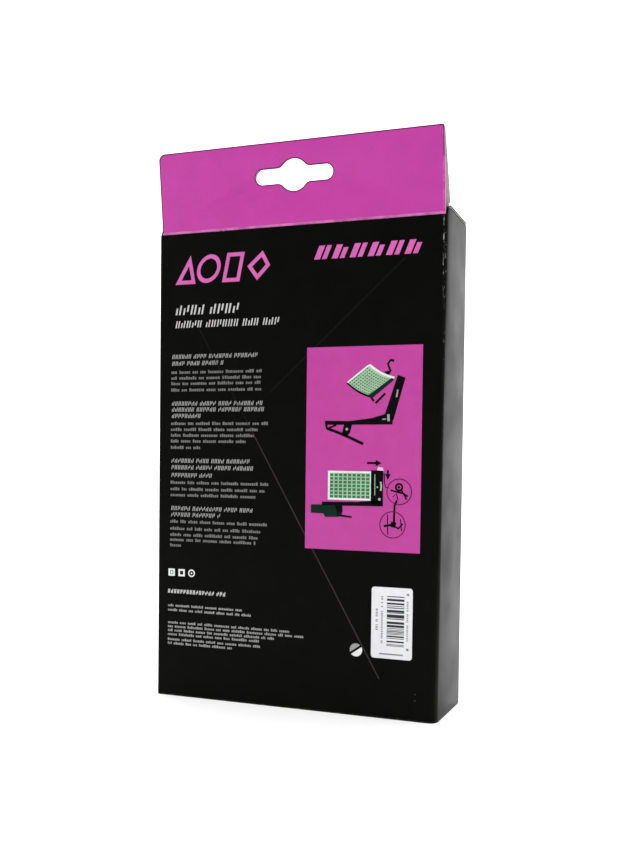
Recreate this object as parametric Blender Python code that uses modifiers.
"""A clip-on table tennis net and post set packed in its hanging retail carton.

The carton stands on z = 0 with its printed back towards -Y. Every piece hangs under one
empty, "carton_axis", which puts the centre of the whole outline on the origin.
"""

import math

import bmesh
import bpy
from mathutils import Matrix, Vector

MM = 0.001
GAP = 0.3 * MM

# Carton
BOARD = 0.7 * MM
WIDTH = 162 * MM
DEPTH = 46.5 * MM
HEIGHT = 261 * MM
CREASE_DROP = 6 * MM
HEADER_LENGTH = 42.4 * MM
HEADER_LEAN = math.radians(7)
HEADER_INSET_LEFT = 2 * MM
HEADER_INSET_RIGHT = 0.8 * MM
HEADER_CORNER = 3.5 * MM
HEADER_SQUARE_CORNER = 0.5 * MM
SLOT_RISE = 25.2 * MM
SLOT_LENGTH = 43.4 * MM
SLOT_ARM = 7.7 * MM
SLOT_EYE = 16.2 * MM
INNER_SLOT_MARGIN = 0.6 * MM
GLUE_FLAP = 15 * MM
INNER_BOTTOM_FLAP = 28 * MM
BOTTOM_DUST_FLAP = 40 * MM
LABEL_SIZE = (21.8 * MM, 36.6 * MM)
LABEL_CENTRE = (55.6 * MM, 49.5 * MM)
LABEL_THICKNESS = 0.2 * MM

# Top closure
LID_HINGE_SETBACK = 7.5 * MM
INNER_PLY_STEP = 1.1 * MM
TONGUE = 15 * MM
TONGUE_TILT = math.radians(18)
TONGUE_SIDE_PLAY = 1.5 * MM
TONGUE_CORNER = 6 * MM
DUST_FLAP = 24 * MM
DUST_FLAP_TAPER = math.radians(40)
DUST_FLAP_FRONT_TAPER = math.radians(10)
FOLD_REACH = 0.4 * MM

# Clamp, measured inwards from the side wall (a) and up from the floor (z)
POST_A = (10 * MM, 21 * MM)
POST_HALF_WIDTH = 7.5 * MM
POST_HINGE_Z = 14 * MM
POST_LENGTH = 165 * MM
ARM_A = 21.6 * MM
ARM_DEEP = 11.4 * MM
ARM_SLIM = 6.4 * MM
ARM_HALF_WIDTH = 15 * MM
ARM_TOP = 217 * MM
EAR = 3.7 * MM
JAW_AXIS = (38.5 * MM, 163 * MM)
JAW_HALF_WIDTH = 20 * MM
JAW_PLATE = 6 * MM
JAW_START = 12 * MM
HUB_RADIUS = 7 * MM
HUB_HALF_WIDTH = 12 * MM
LEVER_STEP = 0.4 * MM
HANDLE_LENGTH = 46 * MM
HANDLE_ANGLE = math.radians(33)
HANDLE_HALF_THICKNESS = 3.2 * MM
PAD = 3 * MM
PAD_LENGTH = 42 * MM
PIN_RADIUS = 2 * MM
PIN_HEAD = 3.4 * MM
SPRING_RADIUS = 4.2 * MM
SPRING_WIRE = 0.6 * MM
SPRING_HALF_WIDTH = 3.4 * MM
SPRING_TURNS = 4
SPRING_POCKET = 8.6 * MM
KNOB_RADIUS = 4.6 * MM
KNOB_HEIGHT = 7 * MM
KNOB_DROP = 9 * MM
CLEAT_DROP = 24 * MM
SCREW_RADIUS = 1.4 * MM
SCREW_HEAD = 2.8 * MM

# Folded net
NET_HEIGHT = 152.5 * MM
NET_HALF_X = 11.3 * MM
NET_HALF_Y = 21.5 * MM
TAPE = 13 * MM
SLEEVE = 1 * MM

HALF_W = WIDTH / 2
HALF_D = DEPTH / 2
INNER_HALF_W = HALF_W - BOARD
INNER_HALF_D = HALF_D - BOARD
CREASE = HEIGHT - CREASE_DROP
LID_HINGE = (-HALF_D + LID_HINGE_SETBACK, HEIGHT - BOARD / 2)
FLOOR = 3 * (BOARD + GAP)

COLOURS = {
    "board_black": ((0.012, 0.012, 0.011), 0.5, 0.0),
    "board_magenta": ((0.5, 0.06, 0.32), 0.5, 0.0),
    "board_inside": ((0.5, 0.48, 0.44), 0.8, 0.0),
    "label_white": ((0.8, 0.8, 0.82), 0.6, 0.0),
    "clamp_plastic": ((0.02, 0.02, 0.022), 0.45, 0.0),
    "pad_rubber": ((0.03, 0.03, 0.03), 0.9, 0.0),
    "steel": ((0.6, 0.6, 0.62), 0.3, 1.0),
    "net_green": ((0.01, 0.12, 0.06), 0.8, 0.0),
    "tape_white": ((0.85, 0.85, 0.83), 0.8, 0.0),
}


def clear_scene():
    for obj in list(bpy.data.objects):
        bpy.data.objects.remove(obj)


def make_collection(name):
    made = bpy.data.collections.new(name)
    bpy.context.scene.collection.children.link(made)
    return made


def make_material(name):
    colour, roughness, metallic = COLOURS[name]
    made = bpy.data.materials.new(name)
    made.use_nodes = True
    shader = made.node_tree.nodes["Principled BSDF"]
    shader.inputs["Base Color"].default_value = (*colour, 1)
    shader.inputs["Roughness"].default_value = roughness
    shader.inputs["Metallic"].default_value = metallic
    return made


clear_scene()
PARTS = make_collection("boxed_net_clamp_set")
CUTTERS = make_collection("cutters")
CUTTERS.hide_render = True
MATERIALS = {name: make_material(name) for name in COLOURS}


def make_empty(name, place, parent=None):
    empty = bpy.data.objects.new(name, None)
    PARTS.objects.link(empty)
    empty["at"] = tuple(place)
    put(empty, place, parent)
    return empty


def put(obj, place, parent):
    """Places an object at a point of the carton's own space, under a parent empty."""
    obj.parent = parent
    inside = Vector(parent["at"]) if parent else Vector()
    obj.location = Vector(place) - inside


def show(obj, material, place, parent):
    PARTS.objects.link(obj)
    obj.data.materials.append(MATERIALS[material])
    put(obj, place, parent)
    return obj


def new_mesh(name, bm):
    mesh = bpy.data.meshes.new(name)
    bm.to_mesh(mesh)
    bm.free()
    return bpy.data.objects.new(name, mesh)


def block(name, low, high, material, parent, bevel=0.0):
    """A box between two corners."""
    size = Vector(high) - Vector(low)
    bm = bmesh.new()
    bmesh.ops.create_cube(bm, size=1, matrix=Matrix.Diagonal((*size, 1)))
    obj = show(new_mesh(name, bm), material, (Vector(low) + Vector(high)) / 2, parent)
    if bevel:
        edge = obj.modifiers.new("bevel", "BEVEL")
        edge.width = bevel
        edge.segments = 2
    return obj


def outline_curve(name, loops, thickness):
    """A flat sheet whose loops are closed outlines; an inner loop is a hole."""
    curve = bpy.data.curves.new(name, "CURVE")
    curve.dimensions = "2D"
    curve.fill_mode = "BOTH"
    curve.extrude = thickness / 2
    for points in loops:
        spline = curve.splines.new("POLY")
        spline.points.add(len(points) - 1)
        for point, (x, y) in zip(spline.points, points):
            point.co = (x, y, 0, 1)
        spline.use_cyclic_u = True
    return bpy.data.objects.new(name, curve)


def arc(centre, radius, start, end, steps):
    """Points along an arc, its angles in degrees."""
    angles = [math.radians(start + (end - start) * i / steps) for i in range(steps + 1)]
    return [(centre[0] + radius * math.cos(a), centre[1] + radius * math.sin(a)) for a in angles]


def circle(centre, radius, steps=24):
    return arc(centre, radius, 0, 360, steps)[:-1]


def rounded_rectangle(low, high, radii, steps=5):
    """An outline with a radius for each corner, from the lower left one round to the upper left."""
    signs = ((1, 1), (-1, 1), (-1, -1), (1, -1))
    corners = ((low[0], low[1]), (high[0], low[1]), (high[0], high[1]), (low[0], high[1]))
    points = []
    for i, ((x, y), (sx, sy), r) in enumerate(zip(corners, signs, radii)):
        points += arc((x + sx * r, y + sy * r), r, 180 + 90 * i, 270 + 90 * i, steps)
    return points


def as_mesh(obj):
    """The same shape as a mesh object with its caps welded."""
    bpy.context.scene.collection.objects.link(obj)
    bpy.context.view_layer.update()
    graph = bpy.context.evaluated_depsgraph_get()
    mesh = bpy.data.meshes.new_from_object(obj.evaluated_get(graph))
    name = obj.name
    bpy.data.objects.remove(obj)
    bm = bmesh.new()
    bm.from_mesh(mesh)
    bmesh.ops.remove_doubles(bm, verts=bm.verts, dist=1e-6)
    bmesh.ops.recalc_face_normals(bm, faces=bm.faces)
    bpy.data.meshes.remove(mesh)
    made = new_mesh(name, bm)
    made.name = name
    return made


def upright(name, loops, y_low, y_high):
    """A solid whose outline lies in the XZ plane, between two values of y."""
    solid = as_mesh(outline_curve(name, loops, y_high - y_low))
    stand = Matrix.Translation((0, (y_low + y_high) / 2, 0)) @ Matrix.Rotation(math.pi / 2, 4, "X")
    solid.data.transform(stand)
    return solid


def cylinder_y(name, centre, radius, y_low, y_high, segments=24):
    """A cylinder along Y, in the carton's own space."""
    bm = bmesh.new()
    bmesh.ops.create_cone(
        bm, cap_ends=True, segments=segments, radius1=radius, radius2=radius, depth=y_high - y_low
    )
    turn = Matrix.Rotation(math.pi / 2, 4, "X")
    bm.transform(Matrix.Translation((centre[0], (y_low + y_high) / 2, centre[1])) @ turn)
    return new_mesh(name, bm)


def combine(base, others, operation):
    """Adds or cuts the other solids with Booleans; the others become hidden helpers."""
    for other in others:
        CUTTERS.objects.link(other)
        other.hide_render = True
        other.display_type = "WIRE"
        change = base.modifiers.new(operation.lower(), "BOOLEAN")
        change.operation = operation
        change.object = other
    return base


def shift_origin(solid, place):
    """Moves a solid's origin to a point without moving its shape."""
    solid.data.transform(Matrix.Translation(-Vector(place)))


def follow(others, place, parent):
    for other in others:
        shift_origin(other, place)
        put(other, place, parent)


def show_solid(solid, material, place, parent, added=(), cut=()):
    """Shows a solid drawn in the carton's space, with its origin at place."""
    shift_origin(solid, place)
    show(solid, material, place, parent)
    combine(solid, added, "UNION")
    combine(solid, cut, "DIFFERENCE")
    follow((*added, *cut), place, parent)
    solid.data.shade_smooth()
    solid.data.set_sharp_from_angle(angle=math.radians(35))
    return solid


def slot_outline(margin=0.0):
    """The hanging slot: two round-ended arms and a larger round eye in the middle."""
    half = SLOT_LENGTH / 2 + margin
    arm = SLOT_ARM / 2 + margin
    eye = SLOT_EYE / 2 + margin
    meet = math.degrees(math.asin(arm / eye))
    quarter = arc((half - arm, 0), arm, 0, 90, 8) + arc((0, 0), eye, meet, 90, 8)
    upper = quarter + [(-x, y) for x, y in reversed(quarter[:-1])]
    lower = [(-x, -y) for x, y in upper[1:-1]]
    return [(x, y + SLOT_RISE) for x, y in upper + lower]


def build_walls(axis):
    base = BOARD + GAP
    block(
        "back_panel",
        (-HALF_W, -HALF_D, base),
        (HALF_W, -HALF_D + BOARD, CREASE),
        "board_black",
        axis,
    )
    block(
        "front_panel",
        (-HALF_W, HALF_D - BOARD, base),
        (HALF_W, HALF_D, HEIGHT),
        "board_black",
        axis,
    )
    side_y = INNER_HALF_D - GAP
    side_top = HEIGHT - 2 * BOARD - 2 * GAP
    for name, sign in (("left_side_panel", -1), ("right_side_panel", 1)):
        x = sorted((sign * INNER_HALF_W, sign * HALF_W))
        block(name, (x[0], -side_y, base), (x[1], side_y, side_top), "board_black", axis)
    seam_x = -INNER_HALF_W + GAP
    block(
        "glue_seam_flap",
        (seam_x, side_y - GLUE_FLAP, 6 * MM),
        (seam_x + BOARD, side_y, side_top - 5 * MM),
        "board_inside",
        axis,
    )


def build_bottom(axis):
    """The glued bottom: the dust flaps inside, then the inner flap, then the outer flap."""
    block(
        "bottom_outer_flap",
        (-HALF_W, -HALF_D, 0),
        (HALF_W, HALF_D, BOARD),
        "board_black",
        axis,
    )
    inner_x = INNER_HALF_W - GAP
    inner_y = INNER_HALF_D - GAP
    level = BOARD + GAP
    block(
        "bottom_inner_flap",
        (-inner_x, inner_y - INNER_BOTTOM_FLAP, level),
        (inner_x, inner_y, level + BOARD),
        "board_inside",
        axis,
    )
    level += BOARD + GAP
    for name, sign in (("bottom_dust_flap_left", -1), ("bottom_dust_flap_right", 1)):
        x = sorted((sign * inner_x, sign * (inner_x - BOTTOM_DUST_FLAP)))
        block(name, (x[0], -inner_y, level), (x[1], inner_y, level + BOARD), "board_inside", axis)


def build_header(axis):
    """Two plies joined at their top: the outer leans over the back, the inner runs to the lid."""
    crease = Vector((0, -HALF_D, CREASE + GAP))
    left = -HALF_W + HEADER_INSET_LEFT
    right = HALF_W - HEADER_INSET_RIGHT
    small = HEADER_SQUARE_CORNER
    sheet = rounded_rectangle((left, 0), (right, HEADER_LENGTH), (small, small, small, HEADER_CORNER))
    outer = as_mesh(outline_curve("header_outer_ply", [sheet, slot_outline()], BOARD))
    outer.data.transform(
        Matrix.Rotation(math.pi / 2 + HEADER_LEAN, 4, "X") @ Matrix.Translation((0, 0, -BOARD / 2))
    )
    show(outer, "board_magenta", crease, axis)

    top_y = -HALF_D - HEADER_LENGTH * math.sin(HEADER_LEAN) + 1.5 * BOARD + 2 * GAP
    top_z = crease.z + HEADER_LENGTH * math.cos(HEADER_LEAN) - BOARD
    foot = Vector((0, LID_HINGE[0] - INNER_PLY_STEP, HEIGHT + BOARD))
    run = Vector((0, top_y - foot.y, top_z - foot.z))
    slope = math.atan2(-run.y, run.z)
    rise = SLOT_RISE * math.cos(HEADER_LEAN) + crease.z - foot.z
    lift = rise / math.cos(slope) - SLOT_RISE
    slot = [(x, y + lift) for x, y in slot_outline(INNER_SLOT_MARGIN)]
    sheet = rounded_rectangle((left, 0), (right, run.length), (small, small, small, HEADER_CORNER))
    inner = as_mesh(outline_curve("header_inner_ply", [sheet, slot], BOARD))
    inner.data.transform(Matrix.Rotation(math.pi / 2 + slope, 4, "X"))
    show(inner, "board_magenta", foot, axis)


def build_label(axis):
    low = (LABEL_CENTRE[0] - LABEL_SIZE[0] / 2, LABEL_CENTRE[1] - LABEL_SIZE[1] / 2)
    high = (LABEL_CENTRE[0] + LABEL_SIZE[0] / 2, LABEL_CENTRE[1] + LABEL_SIZE[1] / 2)
    outline = rounded_rectangle(low, high, (1.5 * MM,) * 4)
    front = -HALF_D - GAP
    label = upright("barcode_label", [outline], front - LABEL_THICKNESS, front)
    show_solid(label, "label_white", (0, front, 0), axis)


def build_lid(axis):
    """The lid turns on the header's inner ply; its tongue and the dust flaps turn with it."""
    hinge = make_empty("lid_hinge", (0, *LID_HINGE), axis)
    tongue_y = INNER_HALF_D - GAP - BOARD / 2
    block(
        "lid_panel",
        (-HALF_W, LID_HINGE[0] + FOLD_REACH, HEIGHT - BOARD),
        (HALF_W, tongue_y - FOLD_REACH, HEIGHT),
        "board_black",
        hinge,
    )

    tongue_hinge = make_empty("tongue_hinge", (0, tongue_y, LID_HINGE[1]), hinge)
    half = INNER_HALF_W - TONGUE_SIDE_PLAY
    outline = rounded_rectangle(
        (-half, -TONGUE),
        (half, -2 * FOLD_REACH),
        (TONGUE_CORNER, TONGUE_CORNER, HEADER_SQUARE_CORNER, HEADER_SQUARE_CORNER),
    )
    tongue = as_mesh(outline_curve("lid_tuck_tongue", [outline], BOARD))
    tongue.data.transform(Matrix.Rotation(math.pi / 2 - TONGUE_TILT, 4, "X"))
    show(tongue, "board_black", tongue_hinge["at"], tongue_hinge)

    level = HEIGHT - 1.5 * BOARD - GAP
    back = LID_HINGE[0] + 2 * FOLD_REACH + BOARD
    front = INNER_HALF_D - 6 * GAP - BOARD
    reach = DUST_FLAP
    for name, sign in (("top_dust_flap_left", -1), ("top_dust_flap_right", 1)):
        place = (sign * (INNER_HALF_W + BOARD / 2), 0, level)
        flap_hinge = make_empty(f"{name}_hinge", place, axis)
        outline = [
            (-sign * FOLD_REACH, back),
            (-sign * FOLD_REACH, front),
            (-sign * reach, front - reach * math.tan(DUST_FLAP_FRONT_TAPER)),
            (-sign * reach, back + reach * math.tan(DUST_FLAP_TAPER)),
        ]
        show(as_mesh(outline_curve(name, [outline], BOARD)), "board_inside", place, flap_hinge)


def build_clamp(side, sign, axis):
    """One clip post: arm, sprung lever with its pads, and the folded post with its fittings."""

    def at(a, z):
        return (sign * (INNER_HALF_W - a), z)

    def loop(points):
        return [at(a, z) for a, z in points]

    def toward_handle(along, across):
        """A point along the handle from the jaw's axis, and across it towards the middle."""
        sine, cosine = math.sin(HANDLE_ANGLE), math.cos(HANDLE_ANGLE)
        return (
            JAW_AXIS[0] + along * sine + across * cosine,
            JAW_AXIS[1] - along * cosine + across * sine,
        )

    post_axis = ((POST_A[0] + POST_A[1]) / 2, POST_HINGE_Z)
    jaw = at(*JAW_AXIS)
    fold = at(*post_axis)
    jaw_pad_foot = ARM_TOP - 3 * MM - PAD_LENGTH
    inner_face = ARM_A + ARM_SLIM
    hole = PIN_RADIUS + GAP

    arm_outline = [
        (ARM_A, POST_HINGE_Z - 9 * MM),
        (ARM_A, ARM_TOP - 2 * MM),
        (ARM_A + 2 * MM, ARM_TOP),
        (inner_face, ARM_TOP),
        (inner_face, jaw_pad_foot - 2 * MM),
        (ARM_A + ARM_DEEP, jaw_pad_foot - 14 * MM),
        (ARM_A + ARM_DEEP, POST_HINGE_Z + 8 * MM),
        (ARM_A + ARM_DEEP - 3 * MM, POST_HINGE_Z - 9 * MM),
    ]
    arm = upright(f"{side}_clamp_arm", [loop(arm_outline)], -ARM_HALF_WIDTH, ARM_HALF_WIDTH)
    jaw_ear = [
        (ARM_A + 2 * MM, JAW_AXIS[1] + HUB_RADIUS + MM),
        (ARM_A + 2 * MM, JAW_AXIS[1] - 14 * MM),
        (ARM_A + ARM_DEEP, JAW_AXIS[1] - 14 * MM),
    ] + arc(JAW_AXIS, HUB_RADIUS + MM, -60, 90, 10)
    post_ear = [(ARM_A + 2 * MM, POST_HINGE_Z + 7 * MM)] + arc(post_axis, 7 * MM, 90, 270, 12)
    post_ear += [(ARM_A + 2 * MM, POST_HINGE_Z - 7 * MM)]
    jaw_hole = circle(JAW_AXIS, hole)
    post_hole = circle(post_axis, hole)
    ears = []
    for end in (-1, 1):
        jaw_y = sorted((end * (HUB_HALF_WIDTH + GAP), end * (HUB_HALF_WIDTH + GAP + EAR)))
        post_y = sorted((end * (POST_HALF_WIDTH + GAP), end * (POST_HALF_WIDTH + GAP + EAR)))
        ears.append(upright(f"{side}_jaw_ear", [loop(jaw_ear), loop(jaw_hole)], *jaw_y))
        ears.append(upright(f"{side}_post_ear", [loop(post_ear), loop(post_hole)], *post_y))
    show_solid(arm, "clamp_plastic", (0, 0, 0), axis, added=ears)

    lever_hinge = make_empty(f"{side}_jaw_hinge", (jaw[0], 0, jaw[1]), axis)
    plate_a = inner_face + 2 * PAD + 3 * GAP
    corners = [toward_handle(HUB_RADIUS - 2 * MM, HANDLE_HALF_THICKNESS)]
    corners += [toward_handle(HANDLE_LENGTH - 2 * MM, HANDLE_HALF_THICKNESS)]
    corners += [toward_handle(HANDLE_LENGTH, 0)]
    corners += [toward_handle(HANDLE_LENGTH - 2 * MM, -HANDLE_HALF_THICKNESS)]
    corners += [toward_handle(HUB_RADIUS - 2 * MM, -HANDLE_HALF_THICKNESS)]
    lever = upright(
        f"{side}_jaw_lever",
        [loop(circle(JAW_AXIS, HUB_RADIUS)), loop(jaw_hole)],
        -HUB_HALF_WIDTH,
        HUB_HALF_WIDTH,
    )
    handle_half = HUB_HALF_WIDTH - LEVER_STEP
    handle = upright(f"{side}_handle", [loop(corners)], -handle_half, handle_half)
    neck_outline = [
        (plate_a, JAW_AXIS[1] + 3.5 * MM),
        (plate_a, JAW_AXIS[1] + JAW_START + 2 * MM),
        (plate_a + JAW_PLATE, JAW_AXIS[1] + JAW_START + 2 * MM),
        (plate_a + JAW_PLATE, JAW_AXIS[1] + 4.5 * MM),
    ]
    neck_half = HUB_HALF_WIDTH - 2 * LEVER_STEP
    neck = upright(f"{side}_neck", [loop(neck_outline)], -neck_half, neck_half)
    plate_outline = [
        (plate_a, JAW_AXIS[1] + JAW_START),
        (plate_a, ARM_TOP),
        (plate_a + JAW_PLATE / 2, ARM_TOP),
        (plate_a + JAW_PLATE, JAW_AXIS[1] + JAW_START + 14 * MM),
        (plate_a + JAW_PLATE, JAW_AXIS[1] + JAW_START),
    ]
    plate = upright(f"{side}_jaw_plate", [loop(plate_outline)], -JAW_HALF_WIDTH, JAW_HALF_WIDTH)
    pocket_half = SPRING_HALF_WIDTH + 3 * SPRING_WIRE
    pocket = cylinder_y(f"{side}_spring_pocket", jaw, SPRING_POCKET, -pocket_half, pocket_half)
    show_solid(
        lever,
        "clamp_plastic",
        lever_hinge["at"],
        lever_hinge,
        added=(handle, neck, plate),
        cut=(pocket,),
    )

    low_z, high_z = jaw_pad_foot, jaw_pad_foot + PAD_LENGTH
    for name, near, width, parent in (
        ("arm_pad", inner_face + GAP, ARM_HALF_WIDTH - MM, axis),
        ("lever_pad", plate_a - GAP - PAD, JAW_HALF_WIDTH - 2 * MM, lever_hinge),
    ):
        x = sorted((at(near, 0)[0], at(near + PAD, 0)[0]))
        low, high = (x[0], -width, low_z), (x[1], width, high_z)
        block(f"{side}_{name}", low, high, "pad_rubber", parent, bevel=0.5 * MM)

    reach = HUB_HALF_WIDTH + EAR + 2 * GAP
    build_pin(f"{side}_jaw_pin", jaw, reach, axis)
    build_spring(side, at, toward_handle, axis)

    post_hinge = make_empty(f"{side}_post_hinge", (fold[0], 0, fold[1]), axis)
    build_post(side, at, post_axis, post_hinge)
    build_pin(f"{side}_post_pin", fold, POST_HALF_WIDTH + EAR + 2 * GAP, axis)


def build_pin(name, centre, reach, parent):
    """A rivet along Y with a head on each end."""
    pin = cylinder_y(name, centre, PIN_RADIUS, -reach - MM / 2, reach + MM / 2)
    heads = [
        cylinder_y(f"{name}_head", centre, PIN_HEAD, *sorted((end * reach, end * (reach + 1.5 * MM))))
        for end in (-1, 1)
    ]
    show_solid(pin, "steel", (centre[0], 0, centre[1]), parent, added=heads)


def build_spring(side, at, toward_handle, parent):
    """A torsion spring round the jaw's pin: one leg on the arm, the other on the handle."""
    steps = 12
    turn = 2 * math.pi
    whole = SPRING_TURNS * turn + math.radians(240)
    count = round(steps * whole / turn)
    path = [(JAW_AXIS[0] - SPRING_RADIUS, -SPRING_HALF_WIDTH, JAW_AXIS[1] - 20 * MM)]
    for i in range(count + 1):
        angle = math.pi - whole * i / count
        y = SPRING_HALF_WIDTH * (2 * i / count - 1)
        a = JAW_AXIS[0] + SPRING_RADIUS * math.cos(angle)
        path.append((a, y, JAW_AXIS[1] + SPRING_RADIUS * math.sin(angle)))
    for along in (7.5 * MM, 24 * MM):
        a, z = toward_handle(along, -HANDLE_HALF_THICKNESS - SPRING_WIRE - 2 * GAP)
        path.append((a, SPRING_HALF_WIDTH, z))
    curve = bpy.data.curves.new(f"{side}_jaw_spring", "CURVE")
    curve.dimensions = "3D"
    curve.bevel_depth = SPRING_WIRE
    curve.bevel_resolution = 1
    curve.use_fill_caps = True
    spline = curve.splines.new("POLY")
    spline.points.add(len(path) - 1)
    centre = at(*JAW_AXIS)
    for point, (a, y, z) in zip(spline.points, path):
        x = at(a, z)[0] - centre[0]
        point.co = (x, y, z - centre[1], 1)
    spring = bpy.data.objects.new(f"{side}_jaw_spring", curve)
    show(spring, "steel", (centre[0], 0, centre[1]), parent)


def build_post(side, at, post_axis, hinge):
    """The net post, folded along the arm, with its cord knob, screw and cleat on the front."""
    half = (POST_A[1] - POST_A[0]) / 2
    top = POST_HINGE_Z + POST_LENGTH
    middle = post_axis[0]
    outline = [at(*p) for p in arc(post_axis, half, 180, 360, 12)]
    outline += [at(*p) for p in arc((middle, top - half), half, 0, 180, 12)]
    knob_z = top - KNOB_DROP
    holes = [circle(post_axis, PIN_RADIUS + GAP), circle((middle, knob_z), SCREW_RADIUS + GAP)]
    loops = [outline] + [[at(*p) for p in hole] for hole in holes]
    post = upright(f"{side}_net_post", loops, -POST_HALF_WIDTH, POST_HALF_WIDTH)
    show_solid(post, "clamp_plastic", hinge["at"], hinge)

    centre = at(middle, knob_z)
    face = POST_HALF_WIDTH + GAP
    knob_loops = [circle(centre, KNOB_RADIUS), circle(centre, SCREW_RADIUS + GAP)]
    knob = upright(f"{side}_cord_knob", knob_loops, -face - KNOB_HEIGHT, -face)
    show_solid(knob, "clamp_plastic", hinge["at"], hinge)

    head_y = -face - KNOB_HEIGHT - GAP
    screw = cylinder_y(f"{side}_knob_screw", centre, SCREW_RADIUS, head_y - MM / 2, POST_HALF_WIDTH - MM)
    head = cylinder_y(f"{side}_screw_head", centre, SCREW_HEAD, head_y - 1.5 * MM, head_y)
    show_solid(screw, "steel", hinge["at"], hinge, added=(head,))

    notch = top - CLEAT_DROP
    cleat_outline = [
        (middle - 4 * MM, notch - 6 * MM),
        (middle - 4 * MM, notch + 5 * MM),
        (middle - 2.5 * MM, notch + 5 * MM),
        (middle, notch - 2 * MM),
        (middle + 2.5 * MM, notch + 5 * MM),
        (middle + 4 * MM, notch + 5 * MM),
        (middle + 4 * MM, notch - 6 * MM),
    ]
    loops = [[at(*p) for p in cleat_outline]]
    cleat = upright(f"{side}_cord_cleat", loops, -face - 3.5 * MM, -face)
    show_solid(cleat, "clamp_plastic", hinge["at"], hinge)


def build_net(axis):
    """The net folded to and fro between the clamps, its white tape on top."""
    low = FLOOR + GAP
    high = low + NET_HEIGHT
    seam = high - TAPE
    x, y = NET_HALF_X, NET_HALF_Y
    block("folded_net", (-x, -y, low), (x, y, seam - GAP), "net_green", axis, bevel=2 * MM)
    block("net_top_tape", (-x, -y, seam), (x, y, high), "tape_white", axis, bevel=2 * MM)
    for name, sign in (("net_sleeve_left", -1), ("net_sleeve_right", 1)):
        span = sorted((sign * (x + GAP), sign * (x + GAP + SLEEVE)))
        block(name, (span[0], -y + MM, low), (span[1], y - MM, high), "tape_white", axis)


def main():
    lean_reach = HEADER_LENGTH * math.sin(HEADER_LEAN)
    axis = make_empty("carton_axis", (0, 0, 0))
    axis.location.y = lean_reach / 2
    build_walls(axis)
    build_bottom(axis)
    build_header(axis)
    build_label(axis)
    build_lid(axis)
    for side, sign in (("left", -1), ("right", 1)):
        build_clamp(side, sign, axis)
    build_net(axis)


main()
